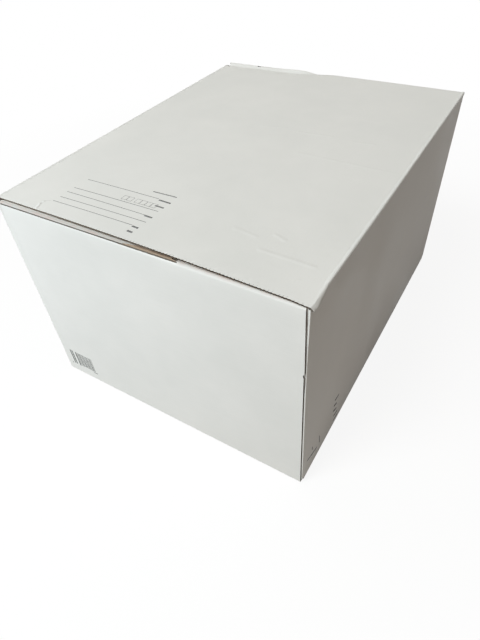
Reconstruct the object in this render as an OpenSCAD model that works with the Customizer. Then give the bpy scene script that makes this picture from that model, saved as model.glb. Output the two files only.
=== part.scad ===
// Tuck-end corrugated mailer box, closed: a four-panel tube of thin corrugated
// board with a hinged closure flap and a tuck at the front and at the back.
// X runs across the width, Y front to back, Z up from the surface it stands on.

/* [Box] */
// Width outside the board
box_w = 340; // [240:5:400]
// Depth outside the closures, front to back
box_d = 440; // [300:5:520]
// Height outside the board
box_h = 254; // [160:2:320]
// Thickness of the corrugated board
board_t = 1.7; // [1.4:0.1:2.2]
// Outside radius of a creased fold
fold_r = 3.4; // [2.8:0.2:5]

/* [Top panel] */
// How far the front cut edge sits back at its left end
front_setback = 4; // [0:0.5:6]
// Width of the slit between the top folds and the walls
top_slit = 1.2; // [0.8:0.2:2]

/* [Closures] */
// Gap between a closure and each side of the box at the bottom
side_gap_low = 1.8; // [1:0.2:3]
// Gap between a closure and each side of the box at the top
side_gap_high = 5.2; // [4:0.2:8]
// Play under the top panel
lid_gap = 0.8; // [0.6:0.1:1.5]
// Length of the tuck behind its fold
tuck_l = 40; // [25:1:45]
// Slope of the tuck, down into the box
tuck_slope = 5.5; // [5:0.5:8]
// How much each end of the tuck is set in from its fold
tuck_inset = 7; // [5:0.5:12]
// Radius of the tuck's free corners
tuck_corner_r = 14; // [8:1:20]
// Gap between a closure and the fold that it hinges on
hinge_gap = 0.4; // [0.3:0.05:0.6]

/* [Dust flaps] */
// Length of a dust flap from the side of the box
dust_l = 100; // [60:5:110]
// Play between a closure and the dust flaps behind it
dust_gap = 0.3; // [0.25:0.05:0.6]
// Gap between a dust flap's top edge and the top of the box
dust_drop = 9; // [8:0.5:14]
// Relief under a dust flap, above the bottom fold
dust_relief = 3; // [2:0.5:8]
// How much a dust flap narrows to its free edge, above and below
dust_taper = 10; // [4:1:20]
// Radius of a dust flap's free corners
dust_corner_r = 12; // [6:1:20]

/* [Glue tab] */
// Width of the glue tab up the left wall
tab_w = 35; // [25:1:45]
// How much the glue tab's ends slant
tab_slant = 15; // [8:1:20]

/* [Wear] */
// Where the slit along the front closure's fold ends, as a share of its width
slit_end = 0.65; // [0.5:0.01:0.8]
// Where the tear in the white liner starts, as a share of the width
tear_start = 0.49; // [0.3:0.01:0.49]
// Height of the tear at its wide end
tear_h = 4.4; // [2:0.2:5]
// Width of the slit
slit_w = 0.7; // [0.4:0.1:1]
// Depth of the slit into the board
slit_depth = 0.9; // [0.5:0.1:1.2]
// Thickness of the liner that is torn off
liner_t = 0.4; // [0.2:0.1:0.6]
// Width of the step in the front closure's right edge
edge_step = 0.7; // [0.3:0.1:1.2]
// Height of that step above the base
edge_step_z = 178; // [120:1:200]

/* [Hidden] */
$fn = 48;
white = [0.86, 0.86, 0.84];
half_w = box_w / 2;
half_d = box_d / 2;
inner_r = fold_r - board_t;

// Depth by which one piece of the sheet laps into the next where both are flat
lap = board_t / 20;

// Front plane of the dust flaps and the end of the plain walls, from the outer face
dust_y = board_t + dust_gap;
wall_y = dust_y + fold_r;

// Heights of the dust flaps and of the folds that carry them
dust_z_low = fold_r + dust_relief;
dust_z_high = box_h - dust_drop;
dust_fold_high = box_h - fold_r - top_slit;

// Height of the centre of a closure's top fold
tuck_fold_z = box_h - board_t - lid_gap - fold_r;
closure_low = fold_r + hinge_gap;
half_low = half_w - side_gap_low;
half_high = half_w - side_gap_high;
slit_x = (slit_end - 0.5) * box_w;
tear_x = (tear_start - 0.5) * box_w;

// From a dust flap's fold to where its top edge clears the closure
side_slant = half_high - half_w + fold_r;

// Sweeps a shape drawn in the XZ plane from y0 to y1
module along_y(y0, y1) {
    translate([0, y1, 0]) rotate([90, 0, 0]) linear_extrude(y1 - y0) children();
}

// Sweeps a shape drawn in the YZ plane over a centred width
module along_x(width) {
    rotate([90, 0, 90]) linear_extrude(width, center = true) children();
}

// Quarter of a ring of board in the third quadrant, about the origin
module fold_quarter() {
    intersection() {
        difference() {
            circle(fold_r);
            circle(inner_r);
        }
        translate([-fold_r, -fold_r]) square(fold_r);
    }
}

// Points of an arc about a centre, from one angle to another
function arc(cx, cy, r, a0, a1, steps = 8) =
    [for (i = [0 : steps]) let (a = a0 + (a1 - a0) * i / steps) [cx + r * cos(a), cy + r * sin(a)]];

// Cross-section of the tube: three folded corners, and the glued one at the bottom left
module tube_section() {
    flat_w = box_w - 2 * fold_r;
    flat_h = box_h - 2 * fold_r;
    // Top and bottom panels
    translate([-flat_w / 2, box_h - board_t]) square([flat_w, board_t]);
    translate([board_t + fold_r - half_w, 0]) square([flat_w - board_t, board_t]);
    // Right wall, and the left wall down to its cut edge
    translate([half_w - board_t, fold_r]) square([board_t, flat_h]);
    translate([-half_w, dust_gap]) square([board_t, box_h - fold_r - dust_gap]);
    // Folds
    translate([half_w - fold_r, fold_r]) mirror([1, 0]) fold_quarter();
    translate([half_w - fold_r, box_h - fold_r]) mirror([1, 0]) mirror([0, 1]) fold_quarter();
    translate([fold_r - half_w, box_h - fold_r]) mirror([0, 1]) fold_quarter();
    translate([board_t + fold_r - half_w, fold_r]) fold_quarter();
}

// Glue tab inside the left wall, with slanted ends, seated a little way down into its fold
module glue_tab() {
    end_y = half_d - wall_y;
    seat_z = fold_r - board_t / 2;
    translate([board_t - half_w - lap, 0, 0]) rotate([90, 0, 90]) linear_extrude(board_t + lap) polygon([
        [-end_y, seat_z],
        [end_y, seat_z],
        [end_y, fold_r],
        [end_y - tab_slant, fold_r + tab_w],
        [tab_slant - end_y, fold_r + tab_w],
        [-end_y, fold_r]
    ]);
}

// Top panel with its two folds, from end to end: cut square at the back, a little askew at the front
module top_panel() {
    intersection() {
        along_y(-half_d, half_d) tube_section();
        translate([0, 0, box_h - fold_r]) linear_extrude(fold_r) polygon([
            [-half_w, front_setback - half_d],
            [half_w, -half_d],
            [half_w, half_d],
            [-half_w, half_d]
        ]);
    }
}

// Front end of the bottom panel, with the crease that the closure hinges on; a small
// relief is left open at each corner
module bottom_end() {
    half_plate = half_w - fold_r - board_t;
    translate([-half_plate, fold_r - half_d, 0]) cube([2 * half_plate, wall_y - fold_r + lap, board_t]);
    translate([0, fold_r - half_d, fold_r]) along_x(2 * half_low) fold_quarter();
}

// Dust flap on the front edge of the right wall, folded in behind the closure, drawn from
// the centre line of its fold
module dust_flap() {
    free_x = fold_r - dust_l + dust_corner_r;
    inset = dust_taper + dust_corner_r;
    translate([half_w - fold_r, wall_y - half_d, 0]) {
        translate([0, 0, dust_z_low]) linear_extrude(dust_fold_high - dust_z_low)
            mirror([1, 0]) fold_quarter();
        along_y(-fold_r, -inner_r) polygon(concat(
            [[0, dust_z_low], [0, dust_fold_high], [side_slant, dust_z_high]],
            arc(free_x, dust_z_high - inset, dust_corner_r, 90, 180),
            arc(free_x, dust_z_low + inset, dust_corner_r, 180, 270)
        ));
    }
}

// What closes the front end of the tube, under the top panel
module tube_end() {
    bottom_end();
    dust_flap();
    mirror([1, 0, 0]) dust_flap();
}

// The whole tube is one folded and glued sheet
module box_body() {
    color(white) {
        along_y(wall_y - half_d, half_d - wall_y) tube_section();
        top_panel();
        glue_tab();
        tube_end();
        mirror([0, 1, 0]) tube_end();
    }
}

// Upright panel of a closure, drawn down from its fold, narrower towards the top; a step
// widens the right edge above a nick
module closure_panel(step) {
    height = tuck_fold_z - closure_low;
    step_z = edge_step_z - tuck_fold_z;
    step_half = half_high - (half_low - half_high) * step_z / height;
    along_y(-fold_r, -inner_r) polygon([
        [-half_low, -height],
        [half_low, -height],
        [step_half, step_z],
        [step_half + step, step_z + step],
        [half_high, 0],
        [-half_high, 0]
    ]);
}

// Outline of the tuck seen from above, from its fold inwards, with rounded free corners
module tuck_outline() {
    half_t = half_high - tuck_inset;
    straight = tuck_l - tuck_corner_r;
    polygon([
        [-half_high, 0],
        [half_high, 0],
        [half_t, tuck_inset / 2],
        [half_t, straight],
        [-half_t, straight],
        [-half_t, tuck_inset / 2]
    ]);
    translate([tuck_corner_r - half_t, straight / 2])
        square([2 * (half_t - tuck_corner_r), tuck_l - straight / 2]);
    for (side = [-1, 1])
        translate([side * (half_t - tuck_corner_r), straight]) circle(tuck_corner_r);
}

// Tuck behind its fold, sloping down into the box
module tuck() {
    fall = tuck_l * tan(tuck_slope);
    intersection() {
        along_x(box_w) polygon([
            [0, inner_r],
            [0, fold_r],
            [tuck_l, fold_r - fall],
            [tuck_l, inner_r - fall]
        ]);
        translate([0, 0, -box_h / 2]) linear_extrude(box_h) tuck_outline();
    }
}

// Closure at the front end, drawn from the centre line of its fold: panel, fold and tuck in one sheet
module closure(step = 0) {
    translate([0, fold_r - half_d, tuck_fold_z]) {
        closure_panel(step);
        along_x(2 * half_high) mirror([0, 1]) fold_quarter();
        tuck();
    }
}

// Slit along the front closure's fold, and the wedge where the white liner is torn off above it
module fold_damage() {
    translate([-half_w, -half_d - slit_depth, tuck_fold_z - slit_w])
        cube([slit_x + half_w, 2 * slit_depth, slit_w]);
    intersection() {
        translate([0, fold_r - half_d, tuck_fold_z]) along_x(box_w) difference() {
            circle(fold_r + liner_t);
            circle(fold_r - liner_t);
        }
        along_y(-half_d - liner_t, fold_r - half_d) polygon([
            [tear_x, tuck_fold_z - slit_w],
            [slit_x, tuck_fold_z - slit_w],
            [slit_x, tuck_fold_z + tear_h]
        ]);
    }
}

module front_flap() {
    color(white) difference() {
        closure(edge_step);
        fold_damage();
    }
}

module rear_flap() {
    color(white) mirror([0, 1, 0]) closure();
}

box_body();
front_flap();
rear_flap();
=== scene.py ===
"""A closed tuck-end mailer box of thin white corrugated board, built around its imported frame.

Lengths are in millimetres until a mesh is made, in the frame's axes: X to the right across the
front, Y from front to back, Z up. A sheet of board is described by where it lies when flat:
u runs across its flutes, s along them, and d is the depth below its white face.
"""

import math
import random

import bmesh
import bpy
from mathutils import Matrix, Vector


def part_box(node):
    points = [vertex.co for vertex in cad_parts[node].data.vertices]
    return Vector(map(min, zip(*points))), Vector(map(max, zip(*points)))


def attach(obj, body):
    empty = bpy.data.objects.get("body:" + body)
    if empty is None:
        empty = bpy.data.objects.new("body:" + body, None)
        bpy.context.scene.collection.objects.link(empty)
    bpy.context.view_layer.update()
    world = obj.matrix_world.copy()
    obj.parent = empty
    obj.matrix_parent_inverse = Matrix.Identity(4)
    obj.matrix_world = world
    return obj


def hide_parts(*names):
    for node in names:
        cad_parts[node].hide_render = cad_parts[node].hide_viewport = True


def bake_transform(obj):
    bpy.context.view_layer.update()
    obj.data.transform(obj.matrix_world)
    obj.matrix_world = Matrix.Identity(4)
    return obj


MM = 0.001
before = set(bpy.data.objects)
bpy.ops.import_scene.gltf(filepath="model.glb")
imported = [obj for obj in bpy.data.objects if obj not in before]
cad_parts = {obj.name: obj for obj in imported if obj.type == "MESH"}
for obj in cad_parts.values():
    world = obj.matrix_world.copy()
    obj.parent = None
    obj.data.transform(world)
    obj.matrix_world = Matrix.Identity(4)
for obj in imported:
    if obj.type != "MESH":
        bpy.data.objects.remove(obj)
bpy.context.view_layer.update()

# The box, from the frame
body_low, body_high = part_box("box_body")
front_low, front_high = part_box("front_flap")
HALF_W = (body_high.x - body_low.x) / 2 / MM
HALF_D = (body_high.y - body_low.y) / 2 / MM
HEIGHT = body_high.z / MM
FOLD_TOP = front_high.z / MM
CLOSURE_LOW = front_low.z / MM
HALF_LOW = front_high.x / MM

# The board: its thickness, its liner, its fluted medium, the flutes' pitch, how deep they are open
# at a cut edge, and how far the white liner is crushed down between them there
BOARD = 1.7
LINER = 0.15
MEDIUM = 0.16
PITCH = 3.2
POCKET = 12.0
SCALLOP = 0.25
FLUTES_A_CELL = 4
SAME_DEPTH = 0.01

# The medium over one flute, as shares of the flute's width and of the medium's swing downwards
FLUTE_SHAPE = (
    (0.06, 1.0), (0.17, 0.5), (0.33, -0.5), (0.44, -1.0),
    (0.56, -1.0), (0.67, -0.5), (0.83, 0.5), (0.94, 1.0),
)

# A fold's outer radius, the height of the top folds' feet, and half the width of the flat top
FOLD = 3.4
FOLD_LOW = HEIGHT - FOLD
FLAT_HALF = HALF_W - FOLD

# Into how many steps each stretch of a sheet is divided
FOLD_STEPS = 7
CORNER_STEPS = 6
TAB_STEPS = 2
PANEL_STEPS = 14
TIP_STEPS = 6
LENGTH_STEPS = 17
FLAP_STEPS = 5
TUCK_STEPS = 3
WIDE_STEPS = 4
CLOSURE_STEPS_HIGH = 6
CLOSURE_STEPS_LOW = 12
CREASE_STEPS = 24

# The least length that counts, the distance within which points are welded, and the angle above
# which an edge is shaded sharp
TINY = 1e-6
WELD = 0.002
SHARP_ANGLE = math.radians(32)

# The closures
HALF_HIGH = 164.8
TUCK = 40.0
TUCK_SLOPE = math.radians(5.5)
TUCK_INSET = 7.0
TUCK_CORNER = 14.0
HINGE_Y = HALF_D - FOLD
FOLD_FLAT = 2.0

# The dust flaps and the ends of the tube
DUST_GAP = 0.3
WALL_END = HALF_D - (BOARD + DUST_GAP) - FOLD
DUST_REACH = 100.0
DUST_LOW = 6.4
TOP_SLIT = 1.2
DUST_HIGH = HEIGHT - FOLD - TOP_SLIT
DUST_DROP = 9.0
DUST_TAPER = 10.0
DUST_CORNER = 12.0
DUST_SLOPE = 2 * FOLD

# The glue tab inside the left wall
TAB = 35.0
TAB_SLANT = 15.0
TAB_GAP = 0.3

# The top panel's cut edges: how far each sits back at its left end, and how much it bows up
FRONT_SETBACK = 4.0
REAR_SETBACK = 14.0
LID_BOW_FRONT = 2.3
LID_BOW_REAR = 0.5
WALL_BOW = 0.7
CLOSURE_BOW = 0.5

# The right wall, whose front upper part leans in
LEAN = 2.0
LEAN_HEIGHT = 200.0
LEAN_LENGTH = 130.0
LEAN_WIDTH = 40.0

# The fold above that lean stays nearly straight behind its front end, between these places
LEAN_FREED = 0.75
LEAN_FREE_FROM = -6.0
LEAN_FREE_TO = 37.0

# The top panel's front right corner, which has opened and droops, with a crease in its fold above
# a flattened facet
TIP_LENGTH = 34.0
TIP_WIDTH = 9.0
TIP_FLARE = 3.8
TIP_FLARE_END = 0.24
TIP_FLARE_LENGTH = 29.0
TIP_DROOP = 0.9
TIP_CREASE = 1.64
TIP_CREASE_IN = 0.28
TIP_FACET_START = 9.0
TIP_FACET_END = 27.0
TIP_FACET_BULGE = 0.45

# How far the top panel's folds are pressed out to crisper corners
LID_CREASE = 1.3

# Between which places across it the top panel's back edge comes out again to the full depth, and
# how far the rear closure's fold stands up from place to place
DENT_TO = -58.0
DENT_FROM = 4.0
REAR_MARGIN = 1.2
REAR_RISES = (
    (-171.0, 3.4), (-90.0, 3.6), (-48.0, 5.0), (-36.0, 4.2), (-16.0, 0.4), (0.0, 0.0), (171.0, 0.0),
)
REAR_RISE_GAP = 0.3
REAR_RISE_REACH = 9.0

# The rear closure's left end, as wide at its fold and a way into the tuck as at its foot
WIDE_TUCK = 12.0
WIDE_STEP = 2.2

# The broken place in the rear closure's fold
REAR_NICK = (-120.0, -115.0)
REAR_NICK_TURNS = (math.radians(45), math.radians(125))

# How far a dust flap's fold is pressed out square where it shows beside the closure
SQUARED = 0.9
SQUARED_GAP = 0.2
SQUARED_RAMP = 0.7
SQUARED_TO = math.radians(75)

# The front closure's right edge, which steps out above a nick. Rows of points lie round the nick,
# measured down from its upper end, and the next ones keep clear of it.
EDGE_STEP = 0.7
EDGE_RAMP = 20.0
NICK_Z = 178.0
NICK_DEPTH = 0.6
NICK_HEIGHT = 4.5
NICK_ROWS = (-0.01, 0.8, 3.0, NICK_HEIGHT)
NICK_CLEAR = 4.0
RIGHT_EDGE = 0.999

# Wear on the front closure: a slit along its fold, with the liner torn off above its right end.
# Turns are angles up the fold, from where the panel starts to bend.
SLIT_Z = FOLD_TOP - FOLD
SLIT_SHARE = 0.65
SLIT_END = SLIT_SHARE * 2 * HALF_W - HALF_W
SLIT_TURN_LEFT = math.radians(25)
SLIT_TURN_RIGHT = math.radians(54)
SLIT_WIDTH = 1.1
SLIT_DEPTH = 1.1
SLIT_STEPS = 12
TEAR_START = -12.0
TEAR_FULL = 10.0
TEAR_DEPTH = 0.35
TEAR_TOP = math.radians(118)
TEAR_CURVE = 0.9
TEAR_RAGGED = 5
TEAR_RAGGED_RISE = 6
TEAR_UNDERCUT = (1, 4)
TEAR_STEP = (1.2, 3.0)
TEAR_LEAST = 0.05
TEAR_SEED = 3

# The painted shade on the closure's fold: how low it reaches beyond the slit's end, and how softly it starts
FOLD_SHADE_LOW = FOLD_TOP - 2.2
FOLD_SHADE_EDGE = 0.2
FOLD_SHADE_FADE = 1
FOLD_SHADE_SKIN = 0.4

# The hole at the tear's right end: how far left of the slit's end, and from which angle up
HOLE = ((6.5, 88), (3.0, 74), (0.5, 78))

# How far a cutter stands out of the face that it cuts, and its steps round a fold
CUT_PROUD = 1.0
CUT_STEPS = 5

# Faces of a sheet of board, which are also its material slots
# DEEP faces line the open flutes and take a near-black paint that stands in for the shade inside them
WHITE, KRAFT, CUT, DEEP = 0, 1, 2, 3


# Materials

WHITE_PAPER = (0.788, 0.793, 0.773, 1)
WHITE_PAPER_PALE = (0.838, 0.838, 0.818, 1)
DIRT = (0.42, 0.39, 0.35, 1)
PAPER_FIBRE = (0.70, 0.69, 0.66, 1)
# Painted shade on the closure's fold, grey to brown
FOLD_SHADE_GREY = (0.55, 0.55, 0.53, 1)
FOLD_SHADE_BROWN = (0.56, 0.49, 0.46, 1)
KRAFT_FLECK = (0.16, 0.10, 0.06, 1)
INK_PALER = 0.12


def feed(tree, node, inputs):
    """Gives a node's inputs their values or links; None leaves an input as it is."""
    for key, value in inputs.items():
        if isinstance(value, bpy.types.NodeSocket):
            tree.links.new(value, node.inputs[key])
        elif value is not None:
            node.inputs[key].default_value = value


def adder(tree):
    """A function that adds a node to a tree, with its settings and its inputs' values or links."""
    def add(kind, inputs=(), **settings):
        node = tree.nodes.new(kind)
        for key, value in settings.items():
            setattr(node, key, value)
        feed(tree, node, dict(inputs))
        return node

    return add


def new_material(name):
    """A material, the function that adds a node to it, and where a point lies on the object."""
    material = bpy.data.materials.new(name)
    material.use_nodes = True
    add = adder(material.node_tree)
    return material, add, add("ShaderNodeTexCoord").outputs["Object"]


def paint(material, colour, rough, specular, normal=None):
    """Gives a material's shader its inputs, and returns the shader."""
    shader = material.node_tree.nodes["Principled BSDF"]
    feed(material.node_tree, shader, {
        "Base Color": colour, "Roughness": rough, "Specular IOR Level": specular, "Normal": normal,
    })
    return shader


def noise(add, where, scale, detail=2.0, rough=0.5):
    node = add("ShaderNodeTexNoise", {"Vector": where, "Scale": scale, "Detail": detail, "Roughness": rough})
    return node.outputs["Fac"]


def ranged(add, value, low, high, out_low=0.0, out_high=1.0):
    node = add("ShaderNodeMapRange", {
        "Value": value, "From Min": low, "From Max": high, "To Min": out_low, "To Max": out_high,
    })
    return node.outputs["Result"]


def maths(add, operation, a, b=0.0, c=0.0):
    node = add("ShaderNodeMath", {0: a, 1: b, 2: c}, operation=operation)
    return node.outputs["Value"]


def tinted(add, factor, first, second):
    node = add("ShaderNodeMix", {"Factor": factor, "A": first, "B": second}, data_type="RGBA")
    return node.outputs["Result"]


def vector_maths(add, operation, inputs, result="Value"):
    return add("ShaderNodeVectorMath", inputs, operation=operation).outputs[result]


def bumped(add, height, distance, strength, under=None):
    node = add("ShaderNodeBump", {
        "Height": height, "Distance": distance, "Strength": strength, "Normal": under,
    })
    return node.outputs["Normal"]


def flat_coordinates(add):
    """Where a point lies on the flat sheet, in metres: X across the flutes, Y along them."""
    return add("ShaderNodeAttribute", attribute_name="flat").outputs["Vector"]


def fibres(add, flat, across, along, detail, rough):
    """Long paper fibres along the flutes, drawn at two scales."""
    stretched = add("ShaderNodeMapping", {"Vector": flat, "Scale": (across, along, 900.0)})
    return noise(add, stretched.outputs["Vector"], 1.0, detail, rough)


def flute_ribs(add, flat):
    """A wave over the flat sheet that rises and falls once in each flute."""
    across = add("ShaderNodeSeparateXYZ", {"Vector": flat}).outputs["X"]
    return maths(add, "SINE", maths(add, "MULTIPLY", across, math.tau / (PITCH * MM)))


def crease_height(add, where, start, end, width):
    """1 on a line between two points of the object, in metres, falling to 0 at a width beside it."""
    start, end = Vector(start), Vector(end)
    along = (end - start).normalized()
    offset = vector_maths(add, "SUBTRACT", {0: where, 1: start}, "Vector")
    share = vector_maths(add, "DOT_PRODUCT", {0: offset, 1: along})
    share = add("ShaderNodeClamp", {"Value": share, "Min": 0.0, "Max": (end - start).length})
    foot = vector_maths(add, "SCALE", {0: along, "Scale": share.outputs["Result"]}, "Vector")
    gap = vector_maths(add, "DISTANCE", {0: offset, 1: foot})
    return ranged(add, gap, 0.0, width, 1.0, 0.0)


def paint_fold_shade(add, place, base):
    """Paints shade on a closure's fold from its slit up, and beyond the slit only under the top panel."""
    parts = add("ShaderNodeSeparateXYZ", {"Vector": place}).outputs
    climb = (math.sin(SLIT_TURN_RIGHT) - math.sin(SLIT_TURN_LEFT)) * FOLD / (SLIT_END + HALF_W)
    foot = SLIT_Z + FOLD * math.sin(SLIT_TURN_LEFT) + HALF_W * climb
    above = maths(add, "SUBTRACT", parts["Z"], maths(add, "MULTIPLY", parts["X"], climb))
    along = ranged(add, above, foot * MM, (foot + FOLD_SHADE_EDGE) * MM)
    under = ranged(add, parts["Z"], FOLD_SHADE_LOW * MM, FOLD_TOP * MM)
    beyond = ranged(add, parts["X"], (SLIT_END - FOLD_SHADE_FADE) * MM, (SLIT_END + FOLD_SHADE_FADE) * MM)
    share = maths(add, "MULTIPLY", along, maths(add, "SUBTRACT", 1.0, beyond))
    share = maths(add, "ADD", share, maths(add, "MULTIPLY", under, beyond))
    outside = ranged(add, parts["Y"], -HINGE_Y * MM, (-HINGE_Y - FOLD_SHADE_SKIN) * MM)
    share = maths(add, "MULTIPLY", share, outside)
    uneven = noise(add, place, 60.0, 3.0, 0.6)
    tone = tinted(add, ranged(add, uneven, 0.4, 0.62), FOLD_SHADE_GREY, FOLD_SHADE_BROWN)
    return tinted(add, share, base, tone)


def white_liner(name, creases=(), fold_shaded=False):
    """Matt white liner, faintly mottled, with fibres, the flutes' ribs and creases."""
    material, add, place = new_material(name)
    flat = flat_coordinates(add)
    cloud = noise(add, place, 9.0, 4.0, 0.6)
    fibre = fibres(add, flat, 2600.0, 520.0, 3.0, 0.6)
    speck = noise(add, place, 420.0)
    base = tinted(add, ranged(add, cloud, 0.35, 0.65), WHITE_PAPER, WHITE_PAPER_PALE)
    base = tinted(add, ranged(add, speck, 0.73, 0.80, 0.0, 0.14), base, DIRT)
    base = tinted(add, ranged(add, fibre, 0.3, 0.75, 0.0, 0.10), base, PAPER_FIBRE)
    # Painted shade on the closure's fold, under the top panel's edge and above the slit
    if fold_shaded:
        base = paint_fold_shade(add, place, base)
    rough = ranged(add, cloud, 0.3, 0.7, 0.52, 0.64)
    bump = bumped(add, flute_ribs(add, flat), 0.00003, 0.35)
    bump = bumped(add, noise(add, place, 28.0, 3.0, 0.55), 0.0012, 0.30, bump)
    bump = bumped(add, fibre, 0.00005, 0.45, bump)
    for start, end, width, depth in creases:
        bump = bumped(add, crease_height(add, place, start, end, width), depth, 1.0, bump)
    paint(material, base, rough, 0.32, bump)
    return material


def kraft_liner(name, dark, light, ribs_depth, pale_left=None):
    """Brown kraft paper with fibres, flecks and ribs, which can fade to pale_left at the box's left; made
    dark, it also serves as painted shade on cut edges and in flute hollows.
    """
    material, add, place = new_material(name)
    flat = flat_coordinates(add)
    fibre = fibres(add, flat, 2400.0, 330.0, 4.0, 0.65)
    cloud = noise(add, place, 16.0, 4.0, 0.6)
    fleck = noise(add, place, 760.0, 2.0, 0.6)
    base = tinted(add, ranged(add, fibre, 0.3, 0.72), dark, light)
    base = tinted(add, ranged(add, cloud, 0.35, 0.7, 0.0, 0.35), base, dark)
    base = tinted(add, ranged(add, fleck, 0.66, 0.76, 0.0, 0.45), base, KRAFT_FLECK)
    # For the flute hollows this makes their painted shade lighter towards the box's left
    if pale_left:
        beside = add("ShaderNodeSeparateXYZ", {"Vector": place}).outputs["X"]
        base = tinted(add, ranged(add, beside, 0.06, -0.12, 0.0, 0.8), base, pale_left)
    bump = bumped(add, flute_ribs(add, flat), ribs_depth, 0.8)
    bump = bumped(add, fibre, 0.00008, 0.6, bump)
    paint(material, base, 0.82, 0.2, bump)
    return material


def ink(name, colour):
    """Thin grey printing ink that lets a little of the paper through."""
    material, add, place = new_material(name)
    patchy = noise(add, place, 900.0, 2.0, 0.6)
    pale = (*(c + INK_PALER for c in colour), 1)
    base = tinted(add, ranged(add, patchy, 0.5, 0.75, 0.0, 0.4), (*colour, 1), pale)
    paint(material, base, 0.6, 0.25)
    return material


# Meshes

def placed(name, data):
    """A new object in the scene."""
    made = bpy.data.objects.new(name, data)
    bpy.context.scene.collection.objects.link(made)
    return made


class Sheet:
    """The corners and faces of one mesh of board, in millimetres."""

    def __init__(self):
        self.points = []
        self.flats = []
        self.faces = []
        self.kinds = []

    def point(self, place, u, s, d):
        """Adds the point of the board at flat coordinates u and s, at depth d."""
        self.points.append(place(u, s, d))
        self.flats.append((u, s, 0.0))
        return len(self.points) - 1

    def face(self, corners, kind):
        kept = [c for k, c in enumerate(corners) if c != corners[k - 1]]
        if len(kept) > 2:
            self.faces.append(kept)
            self.kinds.append(kind)

    def build(self, name, materials):
        """The object, in metres, with sharp cut edges, smooth folds and outward faces."""
        mesh = bpy.data.meshes.new(name)
        mesh.from_pydata([[c * MM for c in p] for p in self.points], [], self.faces)
        flat = mesh.attributes.new("flat", "FLOAT_VECTOR", "POINT")
        flat.data.foreach_set("vector", [c * MM for f in self.flats for c in f])
        mesh.polygons.foreach_set("material_index", self.kinds)
        for material in materials:
            mesh.materials.append(material)
        tidy_mesh(mesh)
        return placed(name, mesh)


def drawn(name, materials, draw, *how):
    """The object that a drawing function makes on a new sheet."""
    sheet = Sheet()
    draw(sheet, *how)
    return sheet.build(name, materials)


def tidy_mesh(mesh):
    """Welds what meets, takes out the walls between welded pieces and turns every face outwards."""
    work = bmesh.new()
    work.from_mesh(mesh)
    work.verts.index_update()
    doubles = bmesh.ops.find_doubles(work, verts=work.verts, dist=WELD * MM)["targetmap"]
    seen = {}
    for face in work.faces:
        seen.setdefault(frozenset(doubles.get(v, v).index for v in face.verts), []).append(face)
    inner_walls = [f for group in seen.values() if len(group) > 1 for f in group]
    bmesh.ops.delete(work, geom=inner_walls, context="FACES_ONLY")
    bmesh.ops.weld_verts(work, targetmap=doubles)
    loose = [e for e in work.edges if not e.link_faces]
    bmesh.ops.delete(work, geom=loose, context="EDGES")
    bmesh.ops.recalc_face_normals(work, faces=work.faces)
    for face in work.faces:
        face.smooth = True
    for edge in work.edges:
        edge.smooth = len(edge.link_faces) == 2 and edge.calc_face_angle() < SHARP_ANGLE
    work.to_mesh(mesh)
    work.free()


def flute_columns(start, end, flutes):
    """Columns across whole flutes: each a place from start to end, and how far the medium is down."""
    columns = [(start, 1.0)]
    for k in range(flutes):
        columns += [(start + (end - start) * (k + share) / flutes, down) for share, down in FLUTE_SHAPE]
    return columns + [(end, 1.0)]


def board(sheet, place, us, rows, holds=None, fluted=None):
    """Adds a board with columns us and rows, which are numbers or functions of u.

    holds(i, j) says whether the cell between columns i, i + 1 and rows j, j + 1 is there. fluted
    holds, for the first row 0 or the last row, the cells (i) whose cut edge shows open flutes.
    """
    columns = len(us) - 1
    bands = len(rows) - 1
    holds = holds or (lambda i, j: True)
    fluted = fluted or {}
    corner = {}
    rim = {}

    def along(j, u):
        return rows[j](u) if callable(rows[j]) else rows[j]

    def filled(i, j):
        return 0 <= i < columns and 0 <= j < bands and holds(i, j)

    def vertex(i, j, d):
        if (i, j, d) not in corner:
            corner[i, j, d] = sheet.point(place, us[i], along(j, us[i]), d)
        return corner[i, j, d]

    def levels(i, j):
        """The corners down a cut edge: white face, under its liner, any flute corners, inner face."""
        if (i, j) not in rim:
            rim[i, j] = [vertex(i, j, d) for d in (0.0, LINER, BOARD)]
        return rim[i, j]

    fine = {}
    for j, cells in fluted.items():
        inward = 1 if j == 0 else -1
        for i in cells:
            fine[i, j] = fluted_cell(
                sheet, place, us[i], us[i + 1], lambda u, j=j: along(j, u), inward, vertex, i, j)
            rim[i, j] = fine[i, j][0]
            rim[i + 1, j] = fine[i, j][-1]

    for i in range(columns):
        for j in range(bands):
            if not filled(i, j):
                continue
            for d, kind in ((0.0, WHITE), (BOARD, KRAFT)):
                level = 0 if d == 0.0 else -1
                low = [vertex(i, j, d), vertex(i + 1, j, d)]
                high = [vertex(i, j + 1, d), vertex(i + 1, j + 1, d)]
                if (i, j) in fine:
                    low = [column[level] for column in fine[i, j]]
                if (i, j + 1) in fine and j + 1 == bands:
                    high = [column[level] for column in fine[i, j + 1]]
                sheet.face(low + high[::-1], kind)
            for a, b, beside in (((i, j), (i + 1, j), (i, j - 1)), ((i, j + 1), (i + 1, j + 1), (i, j + 1)),
                                 ((i, j), (i, j + 1), (i - 1, j)), ((i + 1, j), (i + 1, j + 1), (i + 1, j))):
                if filled(*beside) or (a in fine and b == (a[0] + 1, a[1])):
                    continue
                near, far = levels(*a), levels(*b)
                sheet.face([near[0], far[0], far[1], near[1]], WHITE)
                sheet.face(near[1:] + far[:0:-1], CUT)


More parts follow.
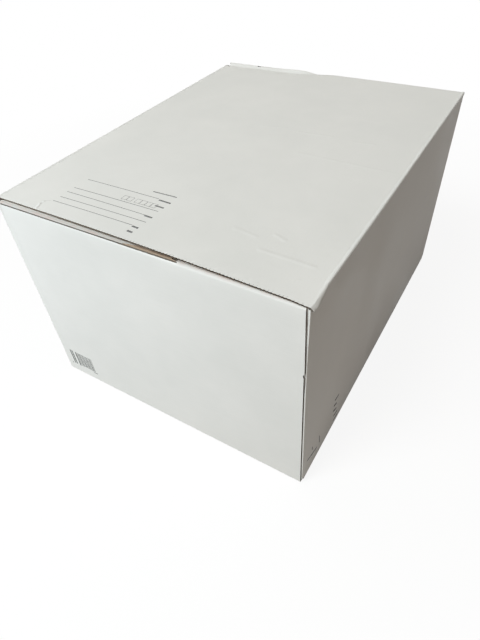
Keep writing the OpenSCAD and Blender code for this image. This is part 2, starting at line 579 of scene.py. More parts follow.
def fluted_cell(sheet, place, start, end, edge, inward, vertex, i, j):
    """Adds the cut edge of one cell, with its flutes open as pockets, and returns its columns."""
    swing = BOARD / 2 - LINER - MEDIUM / 2
    columns = []
    places = flute_columns(start, end, FLUTES_A_CELL)
    for k, (u, down) in enumerate(places):
        middle = BOARD / 2 + swing * down
        sunk = SCALLOP * (1 - down) / 2
        under = LINER + sunk
        over_medium = max(under, middle - MEDIUM / 2)
        depths = (sunk, under, over_medium, max(under + MEDIUM, middle + MEDIUM / 2), BOARD - LINER, BOARD)
        column = []
        for d in depths:
            if column and abs(d - made_depth) < SAME_DEPTH:
                column.append(column[-1])
                continue
            made_depth = d
            shared = k in (0, len(places) - 1)
            at = i if k == 0 else i + 1
            column.append(vertex(at, j, round(d, 6)) if shared else sheet.point(place, u, edge(u), d))
        columns.append(column)
    for near, far in zip(columns, columns[1:]):
        sheet.face([near[0], far[0], far[1], near[1]], WHITE)
        sheet.face([near[2], far[2], far[3], near[3]], KRAFT)
        sheet.face([near[4], far[4], far[5], near[5]], CUT)
    for over, under in ((1, 2), (3, 4)):
        run = []
        for k, column in enumerate(columns):
            run.append(k)
            closed = column[over] == column[under]
            if closed or k == len(columns) - 1:
                if len(run) > 1 and any(columns[r][over] != columns[r][under] for r in run):
                    pocket(sheet, place, [columns[r] for r in run], [places[r][0] for r in run],
                           over, under, edge, inward)
                run = [k]
    return columns


def pocket(sheet, place, columns, us, over, under, edge, inward):
    """Adds the walls and the end of one open flute, between two lines of the board's section."""
    ring = [(c[over], u) for c, u in zip(columns, us)]
    ring += [(c[under], u) for c, u in list(zip(columns, us))[::-1]]
    ring = [r for k, r in enumerate(ring) if r[0] != ring[k - 1][0]]
    deep = []
    for corner, u in ring:
        far = edge(u) + inward * POCKET
        inner = zip(sheet.points[corner], place(u, far, 0), place(u, edge(u), 0))
        sheet.points.append([a + b - c for a, b, c in inner])
        sheet.flats.append((u, far, 0.0))
        deep.append(len(sheet.points) - 1)
    for k in range(len(ring)):
        sheet.face([ring[k - 1][0], ring[k][0], deep[k], deep[k - 1]], DEEP)
    sheet.face(deep, DEEP)


def folded_path(parts, end):
    """A folded strip's side view, with its white face on the right of its course.

    parts are ("flat", length) or ("fold", turn to the left, in radians); the first is the heading.
    Returns a function that gives the point at a length along the white face and a depth below
    it, and the lengths at which the parts meet.
    """
    heading = parts[0]
    at = Vector((0.0, 0.0))
    pieces = []
    length = 0.0
    for kind, size in parts[1:]:
        pieces.append((length, kind, at.copy(), heading))
        ahead = Vector((math.cos(heading), math.sin(heading)))
        if kind == "flat":
            at += ahead * size
            length += size
        else:
            centre = at + FOLD * Vector((-ahead.y, ahead.x))
            heading += size
            at = centre - FOLD * Vector((-math.sin(heading), math.cos(heading)))
            length += FOLD * size
    shift = Vector(end) - at

    def point(s, d):
        found = [p for p in pieces if p[0] <= s + TINY] or pieces[:1]
        start, kind, origin, turned = found[-1]
        inward = Vector((-math.sin(turned), math.cos(turned)))
        if kind == "flat":
            ahead = Vector((math.cos(turned), math.sin(turned)))
            return origin + ahead * (s - start) + inward * d + shift
        angle = turned + (s - start) / FOLD
        centre = origin + FOLD * inward
        return centre - (FOLD - d) * Vector((-math.sin(angle), math.cos(angle))) + shift

    return point, [p[0] for p in pieces] + [length]


def spread(start, end, steps):
    """Places from start to end in equal steps, without the last."""
    return [start + (end - start) * k / steps for k in range(steps)]


def whole_cells(start, end, cell):
    """The borders of the cells of whole flutes that fit between two places, centred there."""
    whole = int((end - start) / cell)
    spare = (end - start - whole * cell) / 2
    return [start + spare + cell * n for n in range(whole + 1)]


def clamped(share):
    return min(1.0, max(0.0, share))


def smooth_share(value, low, high):
    share = clamped((value - low) / (high - low))
    return share * share * (3 - 2 * share)


def rear_edge(x):
    """Where the top panel's back edge runs, at a place across it."""
    return HALF_D - REAR_SETBACK * (1 - smooth_share(x, DENT_TO, DENT_FROM))


def rear_rise(x):
    """How far the rear closure's fold stands up, at a place across it."""
    for (start, low), (end, high) in zip(REAR_RISES, REAR_RISES[1:]):
        if start <= x <= end:
            return low + (high - low) * smooth_share(x, start, end)
    return 0.0


def tip_section(turn):
    """How far the fold's face lies out of its round at the tip, with its crease and facet."""
    over = FOLD / max(math.sin(turn), TINY)
    facet = FOLD ** 2 / (FOLD * math.cos(turn) + (FOLD - TIP_CREASE) * math.sin(turn))
    facet += TIP_FACET_BULGE * math.sin(math.pi * min(1.0, turn / math.atan2(FOLD, TIP_CREASE)))
    return min(over, facet) - FOLD


def lean_in(y, z):
    """How far the right wall leans in at a place on it."""
    lean = LEAN * smooth_share(z, 0, LEAN_HEIGHT) * smooth_share(-y, HALF_D - LEAN_LENGTH, HALF_D)
    freed = LEAN_FREED * smooth_share(y, -HALF_D + LEAN_FREE_FROM, -HALF_D + LEAN_FREE_TO)
    return lean * (1 - freed * smooth_share(z, LEAN_HEIGHT, FOLD_LOW))


def tip_flare(x, y, z):
    """How far the top panel's front right corner has opened outwards at a place on it."""
    opened = (-y - HALF_D + TIP_FLARE_LENGTH) / (WALL_END - HALF_D + TIP_FLARE_LENGTH)
    opened = clamped(opened) * (1 - TIP_FLARE_END * smooth_share(-y, WALL_END, HALF_D))
    flare = TIP_FLARE * opened * smooth_share(z, DUST_HIGH, FOLD_LOW)
    flare *= smooth_share(x, HALF_W - TIP_WIDTH, HALF_W)
    return flare * (1 - TIP_CREASE_IN * smooth_share(z, FOLD_LOW, HEIGHT))


def lid_fold_push(turn, faceted):
    """How far a top fold's face lies out of its round, at an angle up it."""
    return LID_CREASE * math.sin(2 * turn) ** 2 * (1 - faceted) + tip_section(turn) * faceted


def settled(x, y, z):
    """Where a point of the tube lies once its panels have bowed and its corners have given."""
    forward = smooth_share(-y, -HALF_D, HALF_D)
    lean = lean_in(y, z)
    flare = tip_flare(x, y, z)
    droop = smooth_share(-y, HALF_D - TIP_LENGTH, HALF_D) * smooth_share(x, HALF_W - 2 * TIP_WIDTH, HALF_W)
    if z > FOLD_LOW and abs(x) > FLAT_HALF:
        turn = math.atan2(z - FOLD_LOW, abs(x) - FLAT_HALF)
        faceted = smooth_share(-y, HALF_D - TIP_FACET_END, HALF_D - TIP_FACET_START) if x > 0 else 0.0
        push = lid_fold_push(turn, faceted)
        x += math.copysign(push * math.cos(turn), x)
        z += push * math.sin(turn)
    if z > FOLD_LOW:
        arch = max(0.0, math.cos(math.pi / 2 * min(1.0, abs(x) / FLAT_HALF)))
        z += arch * (LID_BOW_REAR + (LID_BOW_FRONT - LID_BOW_REAR) * forward ** 3)
    elif abs(x) > FLAT_HALF:
        wall = max(0.0, math.sin(math.pi * z / HEIGHT)) * max(0.0, math.cos(math.pi / 2 * y / HALF_D))
        x += math.copysign(WALL_BOW * wall, x)
    x += flare - lean * smooth_share(x, HALF_W - LEAN_WIDTH, FLAT_HALF)
    return x, y, z - TIP_DROOP * droop * smooth_share(z, DUST_HIGH, FOLD_LOW)


# Shell pieces

# The tube's flat parts in their order round it, between folds, and the places that the right, top
# and left panels have among all its parts
TUBE_FLATS = {
    "tab": TAB,
    "bottom": 2 * HALF_W - 2 * FOLD - BOARD,
    "right": HEIGHT - 2 * FOLD,
    "top": 2 * FLAT_HALF,
    "left": FOLD_LOW - TAB_GAP,
}
RIGHT_PART = 4
TOP_PART = 6
LEFT_PART = 8


def tube(sheet):
    """The four panels and the glue tab, one sheet folded round, with the top panel's ends longer."""
    parts = [-math.pi / 2]
    for length in TUBE_FLATS.values():
        parts.append(("flat", length))
        parts.append(("fold", math.pi / 2))
    path, breaks = folded_path(parts[:-1], (-HALF_W, TAB_GAP))
    us = []
    top_cells = []
    fluted_cells = []
    for k, start in enumerate(breaks[:-1]):
        end = breaks[k + 1]
        before = len(us)
        if k == TOP_PART:
            us += [start] + whole_cells(start, end, FLUTES_A_CELL * PITCH)
            fluted_cells = list(range(before + 1, len(us) - 1))
        elif k == RIGHT_PART:
            us += [start] + [start + z - FOLD for z in flap_heights()]
        elif k == LEFT_PART:
            us += [start] + [start + FOLD_LOW - z for z in flap_heights()[::-1]]
        elif k % 2:
            us += spread(start, end, FOLD_STEPS)
        else:
            us += spread(start, end, TAB_STEPS if k == 0 else PANEL_STEPS)
        if abs(k - TOP_PART) <= 1:
            top_cells += range(before, len(us))
    us.append(breaks[-1])
    top_start, top_end = breaks[TOP_PART], breaks[TOP_PART + 1]

    def leftward(u):
        """0 at the right end of the top panel, 1 at its left end."""
        return clamped((u - top_start) / (top_end - top_start))

    def row(y):
        slant = TAB_SLANT / WALL_END
        return lambda u: y * (1 - slant * (1 - min(1.0, u / TAB)))

    rows = [lambda u: FRONT_SETBACK * leftward(u) - HALF_D]
    rows += [row(y) for y in spread(-WALL_END, TIP_LENGTH - HALF_D, TIP_STEPS)]
    rows += [row(y) for y in spread(TIP_LENGTH - HALF_D, WALL_END, LENGTH_STEPS)]

    def back_edge(u):
        """Where the top panel's back edge runs, and where it joins the end of the left wall."""
        joined = smooth_share(u, top_end + FOLD / 2, breaks[LEFT_PART])
        free = rear_edge(FLAT_HALF - (u - top_start))
        return free + (WALL_END + REAR_MARGIN - free) * joined

    def before_edge(u):
        if breaks[TOP_PART - 1] <= u <= breaks[LEFT_PART]:
            return min(WALL_END, back_edge(u) - REAR_MARGIN)
        return row(WALL_END)(u)

    rows += [before_edge, back_edge]
    last = len(rows) - 1

    def place(u, s, d):
        x, z = path(u, d)
        return settled(x, s, z)

    board(sheet, place, us, rows,
          holds=lambda i, j: 0 < j < last - 1 or i in top_cells,
          fluted={0: fluted_cells, last: fluted_cells})


def flap_shares():
    """The columns of a dust flap, as shares of its height: whole flutes at its free edge."""
    free_height = HEIGHT - DUST_DROP - DUST_LOW - 2 * (DUST_TAPER + DUST_CORNER)
    return [0.0] + whole_cells(0.0, 1.0, FLUTES_A_CELL * PITCH / free_height) + [1.0]


def flap_heights():
    return [DUST_LOW + (DUST_HIGH - DUST_LOW) * share for share in flap_shares()]


def shell(sheet):
    """The glued tube with its four dust flaps."""
    tube(sheet)
    for side in (-1, 1):
        for end in (-1, 1):
            dust_flap(sheet, side, end)


def dust_flap(sheet, side, end):
    """A dust flap with its fold, on the front (end -1) or back edge of the left or right wall."""
    flat = DUST_REACH - FOLD
    path, breaks = folded_path([0.0, ("flat", flat), ("fold", math.pi / 2)], (HALF_W, -WALL_END))

    def drop(s):
        """How far the flap's upper and lower edges are set in at a length from its free edge."""
        taper = DUST_TAPER * max(0.0, 1 - s / flat)
        if s >= DUST_CORNER:
            return taper
        return taper + DUST_CORNER - math.sqrt(DUST_CORNER ** 2 - (DUST_CORNER - s) ** 2)

    def top_edge(s):
        slope_start = flat - DUST_SLOPE
        share = clamped((s - slope_start) / (flat - slope_start))
        high = HEIGHT - DUST_DROP
        return high + (DUST_HIGH - high) * share

    def place(u, s, d):
        x, y = path(s, d)
        low = DUST_LOW + drop(s)
        high = top_edge(s) - drop(s)
        z = low + (high - low) * u
        turned = (s - flat) / FOLD
        if turned > 0:
            stepped = smooth_share(z, NICK_Z - EDGE_RAMP, NICK_Z - NICK_HEIGHT)
            clear = closure_half(z, False) + EDGE_STEP * stepped
            reach = abs(settled(side * path(s, 0)[0], -end * y, z)[0]) - clear
            squared = smooth_share(reach, SQUARED_GAP, SQUARED_GAP + SQUARED_RAMP)
            squared *= 1 - smooth_share(turned, SQUARED_TO, math.pi / 2)
            y += squared * (d - WALL_END - FOLD - SQUARED - y)
        return settled(side * x, -end * y, z)

    us = flap_shares()
    rows = corner_rows(DUST_CORNER)
    rows += spread(DUST_CORNER, flat - DUST_SLOPE, FLAP_STEPS) + [flat - DUST_SLOPE]
    rows += spread(flat, breaks[-1], FOLD_STEPS) + [breaks[-1]]
    board(sheet, place, us, rows, fluted={0: list(range(1, len(us) - 2))})


def corner_rows(radius):
    """Rows that follow a rounded free corner in, closest at the free edge."""
    return [radius * (1 - math.cos(math.pi / 2 * k / CORNER_STEPS)) for k in range(CORNER_STEPS)]


def closure_half(z, step):
    """Half the width of a closure's upright panel at a height, with the nick in its right edge."""
    share = (z - CLOSURE_LOW) / (SLIT_Z - CLOSURE_LOW)
    half = HALF_LOW + (HALF_HIGH - HALF_LOW) * clamped(share)
    if step and NICK_Z - NICK_HEIGHT < z < NICK_Z:
        half -= NICK_DEPTH
    if step and z >= NICK_Z:
        half += EDGE_STEP * max(0.0, 1 - (z - NICK_Z) / (SLIT_Z - NICK_Z))
    return half


def closure_bow(x, z):
    """How far the closure's upright panel bows out of its plane."""
    across = math.cos(math.pi / 2 * min(1.0, abs(x) / HALF_LOW))
    return CLOSURE_BOW * across * max(0.0, math.sin(math.pi * min(1.0, z / SLIT_Z)))


def closure(sheet, end, step):
    """A closure from its tuck's free edge over its fold and down to its crease."""
    turn = math.pi / 2 + TUCK_SLOPE
    parts = [math.pi - TUCK_SLOPE, ("flat", TUCK), ("fold", turn), ("flat", SLIT_Z - CLOSURE_LOW)]
    path, (_, fold_start, fold_end, bottom) = folded_path(parts, (-HALF_D, CLOSURE_LOW))
    tuck_half = HALF_HIGH - TUCK_INSET

    def half(s, wide):
        high = HALF_LOW if wide else HALF_HIGH
        if s >= fold_end:
            return high if wide else closure_half(bottom - s + CLOSURE_LOW, False)
        if s >= fold_start:
            return high
        square = WIDE_TUCK if wide else 0.0
        slanted = clamped((fold_start - s - square) / (TUCK_INSET / 2))
        high -= WIDE_STEP * min(1.0, (fold_start - s) / WIDE_STEP) if wide else 0.0
        width = high - (TUCK_INSET + high - HALF_HIGH) * slanted
        if s < TUCK_CORNER:
            width -= TUCK_CORNER - math.sqrt(TUCK_CORNER ** 2 - (TUCK_CORNER - s) ** 2)
        return width

    def place(u, s, d):
        y, z = path(s, d)
        width = half(s, not step and u < 0)
        if step and s >= fold_end and u > RIGHT_EDGE:
            width = closure_half(bottom - s + CLOSURE_LOW, True)
        x = u * width
        y -= closure_bow(x, z) if s > fold_end else 0.0
        if not step:
            clear = rear_edge(x) + REAR_RISE_GAP
            beyond = smooth_share(-y, clear, clear + REAR_RISE_REACH)
            z += rear_rise(x) * beyond * (1 - smooth_share(s, fold_end, bottom))
        return x, -end * y, z

    us = [-1.0] + whole_cells(-1.0, 1.0, FLUTES_A_CELL * PITCH / (tuck_half - TUCK_CORNER)) + [1.0]
    rows = corner_rows(TUCK_CORNER)
    wide_start = fold_start - WIDE_TUCK - TUCK_INSET / 2
    rows += spread(TUCK_CORNER, wide_start, TUCK_STEPS) + [wide_start]
    rows += spread(fold_start - WIDE_TUCK, fold_start - TUCK_INSET / 2, WIDE_STEPS)
    rows += spread(fold_start - TUCK_INSET / 2, fold_start, TUCK_STEPS)
    rows += spread(fold_start, fold_end, FOLD_STEPS)
    nick_rows = [bottom + CLOSURE_LOW - NICK_Z + row for row in NICK_ROWS]
    rows += spread(fold_end, nick_rows[0], CLOSURE_STEPS_HIGH) + nick_rows
    lower = spread(nick_rows[-1], bottom - NICK_CLEAR, CLOSURE_STEPS_LOW)
    rows += [row + NICK_CLEAR for row in lower] + [bottom]
    board(sheet, place, us, rows, fluted={0: list(range(1, len(us) - 2))})


def crease(sheet, end):
    """The fold between the bottom panel and a closure, in the board's whole thickness."""
    path, breaks = folded_path(
        [-math.pi / 2, ("flat", CLOSURE_LOW - FOLD), ("fold", math.pi / 2), ("flat", FOLD_FLAT)],
        (FOLD_FLAT - HINGE_Y, 0.0))

    def place(u, s, d):
        y, z = path(s, d)
        return u, -end * y, z

    us = spread(-HALF_LOW, HALF_LOW, CREASE_STEPS) + [HALF_LOW]
    rows = [0.0] + spread(breaks[1], breaks[2], FOLD_STEPS) + [breaks[2], breaks[3]]
    board(sheet, place, us, rows)


# Cuts in the closures

def slit_turn(x):
    """The angle up the closure's fold at which the slit runs, at a place across it."""
    share = (x + HALF_W) / (SLIT_END + HALF_W)
    return SLIT_TURN_LEFT + (SLIT_TURN_RIGHT - SLIT_TURN_LEFT) * share


def fold_ring(x, low, high, depth, end=-1):
    """A ring of points round a solid that covers a closure's fold between two angles."""
    angles = spread(low, high, CUT_STEPS) + [high]
    places = [(a, FOLD - depth) for a in angles] + [(a, FOLD + CUT_PROUD) for a in angles[::-1]]
    return [(x, end * (HINGE_Y + r * math.cos(a)), SLIT_Z + r * math.sin(a)) for a, r in places]


def slit_cutter(sheet):
    """The slit along the closure's fold, from its left end."""
    half = SLIT_WIDTH / FOLD / 2
    places = spread(-HALF_W - CUT_PROUD, SLIT_END, SLIT_STEPS) + [SLIT_END]
    prism(sheet, [fold_ring(x, slit_turn(x) - half, slit_turn(x) + half, SLIT_DEPTH) for x in places])


def prism(sheet, rings):
    """Adds a closed solid through rings of the same number of points."""
    first = len(sheet.points)
    count = len(rings[0])
    for ring in rings:
        sheet.points += ring
        sheet.flats += ring
    for k in range(len(rings) - 1):
        for n in range(count):
            a, b = first + k * count + n, first + k * count + (n + 1) % count
            sheet.face([a, b, b + count, a + count], WHITE)
    sheet.face(list(range(first, first + count)), WHITE)
    sheet.face(list(range(first + (len(rings) - 1) * count, first + len(rings) * count)), WHITE)


def tear_cutter(sheet):
    """The white liner torn off above the slit, in a ragged wedge that ends abruptly."""
    dice = random.Random(TEAR_SEED)
    rings = []
    x = TEAR_START
    while x < SLIT_END:
        low = slit_turn(x) - SLIT_WIDTH / FOLD / 2
        share = min(1.0, (x - TEAR_START) / (TEAR_FULL - TEAR_START))
        ragged = math.radians(dice.uniform(-TEAR_RAGGED, TEAR_RAGGED)) * min(1.0, TEAR_RAGGED_RISE * share)
        top = max(low + TEAR_LEAST, low + (TEAR_TOP - low) * share ** TEAR_CURVE + ragged)
        undercut = math.radians(dice.uniform(*TEAR_UNDERCUT))
        rings.append(fold_ring(x, low - undercut, top, TEAR_DEPTH))
        x += dice.uniform(*TEAR_STEP)
    prism(sheet, rings)


def hole_cutter(sheet):
    """The small hole at the tear's right end, under the top panel's edge."""
    prism(sheet, [fold_ring(SLIT_END - back, math.radians(low), TEAR_TOP, SLIT_DEPTH) for back, low in HOLE])


def rear_nick_cutter(sheet):
    """The small broken place in the rear closure's fold."""
    rings = [fold_ring(x, *REAR_NICK_TURNS, SLIT_DEPTH, end=1) for x in REAR_NICK]
    prism(sheet, [[(x, y, z + rear_rise(x)) for x, y, z in ring] for ring in rings])


def cut(piece, cutters):
    """Cuts solids out of a piece and removes them; the cuts' faces take their materials."""
    for solid in cutters:
        modifier = piece.modifiers.new(solid.name, "BOOLEAN")
        modifier.object = solid
        modifier.operation = "DIFFERENCE"
        modifier.solver = "EXACT"
        modifier.material_mode = "TRANSFER"
    graph = bpy.context.evaluated_depsgraph_get()
    made = bpy.data.meshes.new_from_object(piece.evaluated_get(graph))
    piece.modifiers.clear()
    piece.data = made
    for solid in cutters:
        bpy.data.objects.remove(solid)
    tidy_mesh(piece.data)


# Print

# How far a print stands out of the liner and reaches into it, and how long its pieces are
INK_PROUD = 0.04
INK_SUNK = 0.05
MARK_STEP = 8.0

# Rules, and stand-ins for words with their heights, on the top, from the box's front left corner
RULE_WIDTH = 0.5
RULES = (
    ((61.7, 67.8), (152.4, 67.4)),
    ((60.9, 49.4), (165.8, 49.3)),
    ((59.9, 40.6), (158.8, 39.4)),
    ((61.0, 30.5), (167.3, 30.4)),
    ((60.2, 22.0), (158.8, 21.6)),
)
LABELS = (
    ((139.1, 76.1), (166.5, 76.8), 1.2),
    ((154.0, 65.8), (167.6, 65.4), 1.9),
    ((156.8, 56.3), (167.0, 56.1), 1.7),
    ((158.9, 38.6), (167.5, 38.5), 2.0),
    ((159.9, 20.4), (167.6, 19.9), 2.0),
    ((160.6, 13.0), (166.5, 12.6), 2.2),
)
BLOCK_LEAST = 0.8
BLOCK_LENGTHS = (1.2, 2.2)
BLOCK_GAPS = (0.2, 0.35)

# Empty boxes for digits: each row's left end and its number of boxes
DIGIT_BOXES = ((119.1, 2), (134.8, 4))
DIGIT_PITCH = 6.2
DIGIT_GAP = 0.6
DIGIT_LOW = 52.3
DIGIT_HIGH = 58.7
DIGIT_LINE = 0.25

# The block of bars on the front closure, from the box's front left bottom corner, with longer and
# broader bars at its left end (place and width) and two short dashes under it
BARS_LEFT = 13.4
BARS_RIGHT = 50.6
BARS_LOW = 17.8
BARS_HIGH = 42.4
GUARDS = ((1.4, 2.0), (4.5, 2.0), (10.7, 2.2))
GUARD_DROP = 1.0
FINE_BARS_FROM = 13.0
FINE_BARS = (0.5, 0.55, 0.6, 0.95)
FINE_BAR_PITCH = 1.4
BAR_DASHES = (((9.4, 16.1), (10.8, 16.1), 1.8), ((47.0, 15.4), (54.0, 15.8), 1.4))
BAR_SEED = 5

# Strokes that stand in for words on the right wall, from its front bottom corner, with their widths
SIDE_STROKES = (
    ((89.0, 51.8), (78.1, 53.1), 2.6),
    ((85.4, 40.3), (77.4, 44.0), 2.6),
    ((86.4, 29.8), (76.8, 34.6), 2.6),
    ((91.6, 18.8), (80.5, 21.5), 2.6),
    ((93.3, 10.5), (80.4, 11.5), 2.6),
    ((40.7, 35.5), (42.7, 20.9), 1.6),
    ((23.2, 39.2), (23.8, 33.4), 1.4),
    ((35.9, 20.3), (12.2, 28.8), 2.2),
)


def mark(sheet, place, start, end, width):
    """Adds a thin printed stroke between two places on a panel."""
    start, end = Vector(start), Vector(end)
    along = (end - start).normalized()
    side = Vector((-along.y, along.x)) * width / 2
    steps = max(1, int((end - start).length / MARK_STEP))
    rings = []
    for k in range(steps + 1):
        at = start.lerp(end, k / steps)
        rings.append([place(*p, d) for p, d in (
            (at - side, -INK_PROUD), (at + side, -INK_PROUD), (at + side, INK_SUNK), (at - side, INK_SUNK))])
    prism(sheet, rings)


def on_top(x, y, d):
    """A place on the top panel, measured from its front left corner."""
    return settled(x - HALF_W, y - HALF_D, HEIGHT - d)


def on_front(x, z, d):
    """A place on the front closure, measured from the box's front left bottom corner."""
    return x - HALF_W, d - HALF_D - closure_bow(x - HALF_W, z), z


def on_right(y, z, d):
    """A place on the right wall, measured from its front bottom corner."""
    return settled(HALF_W - d, y - HALF_D, z)


def blocks(sheet, place, start, end, height, seed):
    """A row of small blocks that stands in for a word."""
    dice = random.Random(seed)
    start, end = Vector(start), Vector(end)
    length = (end - start).length
    at = 0.0
    while at < length - BLOCK_LEAST:
        size = min(dice.uniform(*BLOCK_LENGTHS), length - at)
        mark(sheet, place, start.lerp(end, at / length), start.lerp(end, (at + size) / length), height)
        at += size + dice.uniform(*BLOCK_GAPS)


def digit_box(sheet, x):
    """An empty outlined box for one digit."""
    right = x + DIGIT_PITCH - DIGIT_GAP
    for y in (DIGIT_LOW, DIGIT_HIGH):
        mark(sheet, on_top, (x, y), (right, y), DIGIT_LINE)
    for edge in (x, right):
        mark(sheet, on_top, (edge, DIGIT_LOW), (edge, DIGIT_HIGH), DIGIT_LINE)


def top_print(sheet):
    """Rules, rows of blocks and empty boxes on the top panel."""
    for start, end in RULES:
        mark(sheet, on_top, start, end, RULE_WIDTH)
    for seed, (start, end, height) in enumerate(LABELS):
        blocks(sheet, on_top, start, end, height, seed)
    for first, count in DIGIT_BOXES:
        for k in range(count):
            digit_box(sheet, first + k * DIGIT_PITCH)


def bar_print(sheet):
    """A plain block of upright bars, broad at its left end and fine beyond, with two dashes."""
    for at, width in GUARDS:
        x = BARS_LEFT + at
        mark(sheet, on_front, (x, BARS_LOW - GUARD_DROP), (x, BARS_HIGH), width)
    count = int((BARS_RIGHT - BARS_LEFT - FINE_BARS_FROM) / FINE_BAR_PITCH)
    for k in range(count + 1):
        x = BARS_LEFT + FINE_BARS_FROM + k * FINE_BAR_PITCH
        mark(sheet, on_front, (x, BARS_LOW), (x, BARS_HIGH), FINE_BARS[k % len(FINE_BARS)])
    for start, end, height in BAR_DASHES:
        blocks(sheet, on_front, start, end, height, BAR_SEED)


def side_print(sheet):
    """Strokes in place of words, low on the right wall."""
    for start, end, width in SIDE_STROKES:
        mark(sheet, on_right, start, end, width)


# The pieces

# Creases pressed into the top: both ends, from its front left corner, the width and the depth
CREASES = (
    ((55.5, 4.9), (52.6, 12.4), 1.8, 0.5),
    ((52.6, 12.4), (53.3, 16.8), 1.8, 0.4),
    ((53.3, 16.8), (57.2, 19.5), 1.8, 0.3),
    ((159.7, 252.1), (186.3, 258.5), 2.5, 0.2),
    ((205.3, 254.0), (243.2, 257.7), 2.5, 0.2),
    ((269.2, 254.5), (290.6, 257.4), 2.5, 0.2),
    ((226.2, 207.1), (331.1, 206.2), 3.0, 0.15),
    ((275.0, 41.1), (322.5, 40.9), 3.0, 0.2),
    ((241.4, 58.0), (263.0, 55.3), 3.0, 0.15),
    ((276.7, 64.6), (286.6, 61.3), 3.0, 0.2),
)


def top_creases():
    """The top panel's creases as places on the object, widths and depths, in metres."""
    return [(Vector(on_top(*a, 0)) * MM, Vector(on_top(*b, 0)) * MM, width * MM, depth * MM)
            for a, b, width, depth in CREASES]


def make_body(layers):
    body = drawn("box_sheet", layers, shell)
    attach(body, "body")
    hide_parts("box_body")


def make_closure(name, end, step, layers, wear):
    """A closure at the front (end -1) or back, with its wear cut in; step gives it the nicked edge."""
    flap = drawn(name + "_closure_sheet", layers, closure, end, step)
    cut(flap, [drawn(label, [material], draw) for label, draw, material in wear])
    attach(flap, name + "_closure")
    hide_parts(name + "_flap")


def make_crease(name, end, layers):
    """The crease between a closure and the bottom panel, which follows both."""
    hinge = drawn(name + "_crease", layers, crease, end)
    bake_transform(hinge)


def make_print(name, draw, carrier, material):
    printed = drawn(name, [material], draw)
    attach(printed, carrier)


def make_pieces():
    """All the materials and pieces of the box."""
    white = white_liner("white_board", top_creases())
    kraft = kraft_liner("kraft_liner", (0.33, 0.215, 0.125, 1), (0.50, 0.355, 0.225, 1), 0.00006)
    # The cut edges' dark grey-brown is partly the board's own cut face and partly painted shade for the gap
    # under the top panel's edge; the slit, the hole and the rear nick are lined with it as painted shade
    edge = kraft_liner("cut_edge_and_painted_shade", (0.10, 0.09, 0.078, 1), (0.21, 0.19, 0.165, 1), 0.0)
    # Near-black painted shade inside the open flutes, lighter towards the box's left
    deep = kraft_liner("flute_hollows_painted_shade", (0.04, 0.036, 0.03, 1), (0.08, 0.07, 0.06, 1), 0.0,
                       (0.30, 0.26, 0.22, 1))
    torn = kraft_liner("torn_board", (0.34, 0.255, 0.19, 1), (0.50, 0.40, 0.31, 1), 0.00012)
    pale_ink = ink("grey_print", (0.10, 0.10, 0.105))
    bar_ink = ink("bar_print_ink", (0.15, 0.16, 0.155))
    side_ink = ink("side_print_ink", (0.025, 0.025, 0.027))
    # The front closure's white liner, with painted shade on its fold
    fold_shaded = white_liner("fold_shaded_liner", fold_shaded=True)
    layers = [white, kraft, edge, deep]
    make_body(layers)
    front_wear = (("slit", slit_cutter, edge), ("hole", hole_cutter, edge), ("tear", tear_cutter, torn))
    make_closure("front", -1, True, [fold_shaded, kraft, edge, deep], front_wear)
    make_crease("front", -1, layers)
    make_closure("rear", 1, False, layers, [("nick", rear_nick_cutter, edge)])
    make_crease("rear", 1, layers)
    make_print("top_print", top_print, "body", pale_ink)
    make_print("side_print", side_print, "body", side_ink)
    make_print("bar_print", bar_print, "front_closure", bar_ink)


# Camera, light and floor

# The photograph's camera: its focal length in pixels, its place in metres and its directions
FOCAL_PX = 482.0
LONG_SIDE_PX = 640
SENSOR = 36.0
CAMERA_AT = (0.2641, -0.4491, 0.4826)
FORWARD = Vector((-0.4037, 0.5937, -0.6960)).normalized()
IMAGE_DOWN = Vector((0.3241, -0.6186, -0.7157)).normalized()

# Each lamp's direction from the box, distance, size, power and colour
LAMPS = {
    "key": ((-0.25, -0.60, 0.76), 3.5, 1.6, 91.5, (0.970, 1.0, 0.980)),
    "front": ((-0.45, -0.85, 0.30), 0.99, 0.5, 2.1, (0.70, 0.86, 1.0)),
    "back": ((-0.02, 0.70, 0.70), 1.1, 0.3, 0.65, (1.0, 0.97, 0.92)),
}
WORLD_LEVEL = 0.19
WORLD_COLOUR = (1.0, 0.90, 0.80)

# The floor's half size and paint, the share of it that glows white near the box, and the distances
# over which that share grows to all of it
FLOOR_SIZE = 8.0
FLOOR_COLOUR = (0.40, 0.355, 0.315)
FLOOR_GLOW = 0.90
FLOOR_FADE = (0.35, 0.95)
PURE_WHITE = (1, 1, 1, 1)


def make_camera():
    data = bpy.data.cameras.new("camera")
    data.sensor_width = SENSOR
    data.lens = FOCAL_PX * SENSOR / LONG_SIDE_PX
    camera = placed("camera", data)
    right = FORWARD.cross(-IMAGE_DOWN).normalized()
    up = right.cross(FORWARD)
    turned = Matrix((right, up, -FORWARD)).transposed().to_4x4()
    camera.matrix_world = Matrix.Translation(CAMERA_AT) @ turned
    bpy.context.scene.camera = camera


def area_light(name, direction, distance, size, power, colour):
    """A soft lamp that looks at the middle of the box."""
    data = bpy.data.lights.new(name, "AREA")
    data.shape = "DISK"
    data.size = size
    data.energy = power
    data.color = colour
    lamp = placed(name, data)
    back = Vector(direction).normalized()
    lamp.location = Vector((0, 0, HEIGHT * MM / 2)) + back * distance
    lamp.rotation_mode = "QUATERNION"
    lamp.rotation_quaternion = (-back).to_track_quat("-Z", "Y")


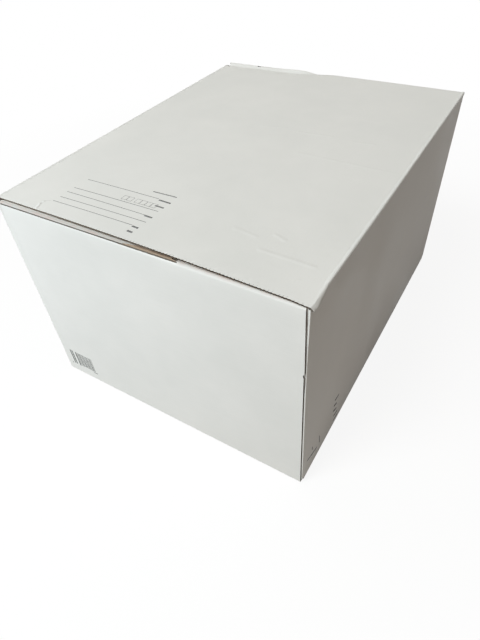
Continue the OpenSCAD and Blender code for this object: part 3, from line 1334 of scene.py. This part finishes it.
def seen_directly(add):
    """1 for the camera and for mirror-like and clear rays, which see the plain white background."""
    path = add("ShaderNodeLightPath").outputs
    total = path["Is Camera Ray"]
    for name in ("Is Glossy Ray", "Is Transmission Ray"):
        total = maths(add, "MAXIMUM", total, path[name])
    return total


def mixed_shader(add, share, first, second):
    node = add("ShaderNodeMixShader", {"Fac": share, 1: first, 2: second})
    return node.outputs["Shader"]


def make_world():
    """A dim warm fill for the box, behind which the camera sees plain white."""
    world = bpy.data.worlds.new("studio")
    bpy.context.scene.world = world
    world.use_nodes = True
    tree = world.node_tree
    add = adder(tree)
    fill = tree.nodes["Background"]
    feed(tree, fill, {"Color": (*WORLD_COLOUR, 1), "Strength": WORLD_LEVEL})
    plain = add("ShaderNodeBackground", {"Color": PURE_WHITE})
    mix = mixed_shader(add, seen_directly(add), fill.outputs["Background"], plain.outputs["Background"])
    feed(tree, tree.nodes["World Output"], {"Surface": mix})


def make_floor():
    """A pale floor that looks white, with the box's shadow kept faint on it."""
    corners = [(x * FLOOR_SIZE, y * FLOOR_SIZE, 0) for x, y in ((-1, -1), (1, -1), (1, 1), (-1, 1))]
    mesh = bpy.data.meshes.new("floor")
    mesh.from_pydata(corners, [], [(0, 1, 2, 3)])
    material, add, place = new_material("floor")
    seen = seen_directly(add)
    shader = paint(material, tinted(add, seen, (*FLOOR_COLOUR, 1), PURE_WHITE), 0.9, 0.0)
    glow = add("ShaderNodeEmission", {"Strength": 1.0})
    away = vector_maths(add, "LENGTH", {0: place})
    share = maths(add, "MULTIPLY", seen, ranged(add, away, *FLOOR_FADE, FLOOR_GLOW, 1.0))
    mix = mixed_shader(add, share, shader.outputs["BSDF"], glow.outputs["Emission"])
    tree = material.node_tree
    feed(tree, tree.nodes["Material Output"], {"Surface": mix})
    mesh.materials.append(material)
    placed("floor", mesh)


make_pieces()
make_camera()
for name, settings in LAMPS.items():
    area_light(name, *settings)
make_world()
make_floor()
bpy.context.scene.view_settings.view_transform = "Standard"
